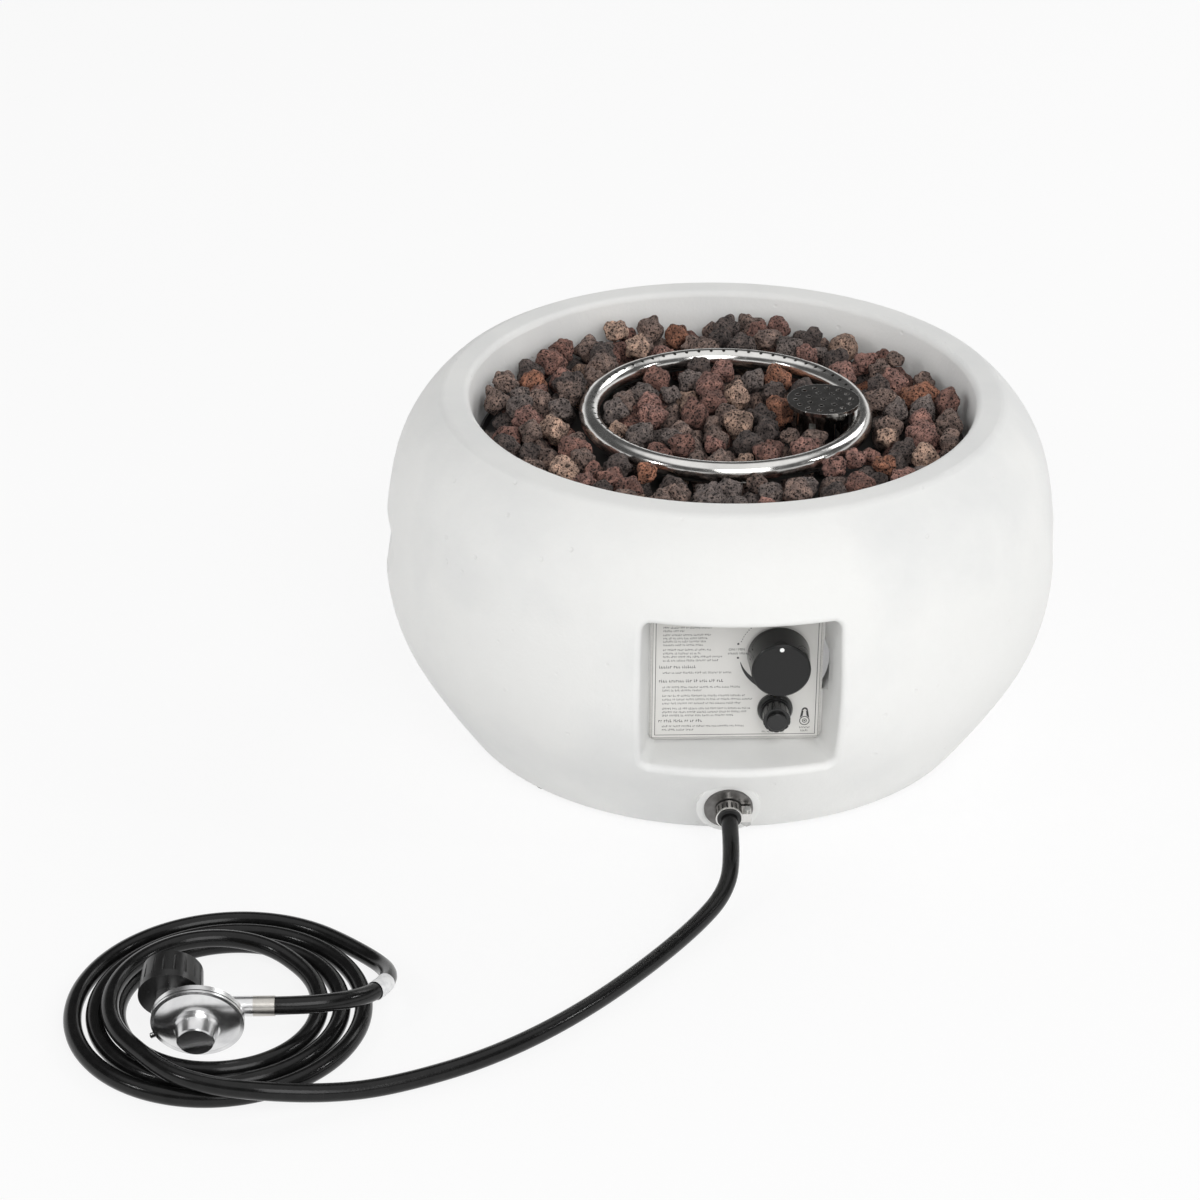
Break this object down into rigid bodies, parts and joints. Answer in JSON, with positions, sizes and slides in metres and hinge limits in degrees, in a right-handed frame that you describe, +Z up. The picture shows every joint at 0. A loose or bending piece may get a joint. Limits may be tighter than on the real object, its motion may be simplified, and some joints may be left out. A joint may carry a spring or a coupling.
{
  "type": "propane fire pit",
  "caption": "Round cast gas fire pit with a lava rock bed, a ring burner, a front control recess with knob and igniter, and a coiled hose with its regulator.",
  "frame": {"origin": "on the ground under the bowl's axis", "axes": "+Z up along the bowl's axis, -Y out of the front, where the control recess is, +X to the right as seen from the front"},
  "size_m": [0.7096, 0.7843, 0.261],
  "materials": {
    "cast_white": "cast stone with a matt off-white coating",
    "foot_rubber": "matt black rubber",
    "pan_black": "matt black heat-resistant paint",
    "stainless": "polished stainless steel",
    "plated_steel": "zinc-plated steel",
    "hood_steel": "dark polished stainless steel",
    "brass": "machined brass",
    "aluminium": "polished die-cast aluminium",
    "white_ceramic": "white glaze",
    "copper": "drawn copper",
    "lead_red": "red silicone insulation",
    "panel_metal": "light brushed steel",
    "label_face": "printed metal foil",
    "black_gloss": "glossy black plastic",
    "black_matt": "matt black plastic",
    "white_dot": "white plastic",
    "cell_jacket": "plain dark wrapper",
    "hose_rubber": "black rubber with a slight gloss",
    "sleeve_white": "plain white film",
    "gasket_dark": "dark rubber",
    "lava": "rough porous lava stone"
  },
  "bodies": {
    "fire_pit": {"bowl_shell": "cast_white", "rubber_feet": "foot_rubber", "burner_pan": "pan_black", "pan_screws": "plated_steel", "burner_ring": "stainless", "burner_brackets": "stainless", "air_mixer": "plated_steel", "gas_jet": "brass", "supply_tube": "aluminium", "supply_nuts": "brass", "igniter_hood": "hood_steel", "sensor_bracket": "plated_steel", "electrode_ceramic": "white_ceramic", "electrode_rod": "stainless", "thermocouple": "copper", "thermocouple_nut": "brass", "capillary": "copper", "ignition_lead": "lead_red", "control_panel": "panel_metal", "panel_label": "label_face", "panel_nuts": "plated_steel", "gas_valve": "aluminium", "valve_screws": "plated_steel", "igniter_barrel": "black_matt", "igniter_nut": "black_gloss", "igniter_terminals": "brass", "battery": "cell_jacket", "battery_contact": "plated_steel", "hose_flange": "plated_steel", "hose_bush": "black_matt", "clamp_band": "stainless", "clamp_housing": "stainless", "clamp_screw": "plated_steel", "inlet_elbow": "brass", "inlet_nut": "brass", "inner_ferrule": "plated_steel", "hose_inner": "hose_rubber", "hose_lead": "hose_rubber", "hose_coil": "hose_rubber", "hose_tail": "hose_rubber", "hose_sleeve": "sleeve_white", "hose_ferrule": "plated_steel", "regulator_body": "aluminium", "regulator_gasket": "gasket_dark", "regulator_cover": "aluminium", "regulator_cap": "aluminium", "inlet_nipple": "brass", "lava_rocks_inner": "lava", "lava_rocks_outer": "lava"},
    "valve_plunger": {"stem_seat": "plated_steel"},
    "control_knob": {"control_knob": "black_gloss", "valve_stem": "brass", "knob_dot": "white_dot"},
    "igniter_cap": {"igniter_cap": "black_gloss"},
    "igniter_button": {"igniter_button": "black_gloss"},
    "coupling_nut": {"coupling_nut": "black_matt"}
  },
  "joints": [
    {"name": "knob_push", "type": "slide", "parent": "fire_pit", "child": "valve_plunger", "axis": [0, 1, 0], "range_m": [0, 0.004], "stiffness_N_per_m": 800},
    {"name": "knob_turn", "type": "hinge", "parent": "valve_plunger", "child": "control_knob", "pos_m": [0.029, -0.21, 0.149], "axis": [0, -1, 0], "range_deg": [0, 180]},
    {"name": "igniter_cap_pull", "type": "slide", "parent": "fire_pit", "child": "igniter_cap", "axis": [0, -1, 0], "range_m": [0, 0.06]},
    {"name": "igniter_press", "type": "slide", "parent": "igniter_cap", "child": "igniter_button", "axis": [0, 1, 0], "range_m": [0, 0.0025], "stiffness_N_per_m": 600},
    {"name": "coupling_nut_spin", "type": "hinge", "parent": "fire_pit", "child": "coupling_nut", "pos_m": [-0.381, -0.42467, 0.03959], "axis": [0, 0.9781, 0.2079], "continuous": true}
  ]
}
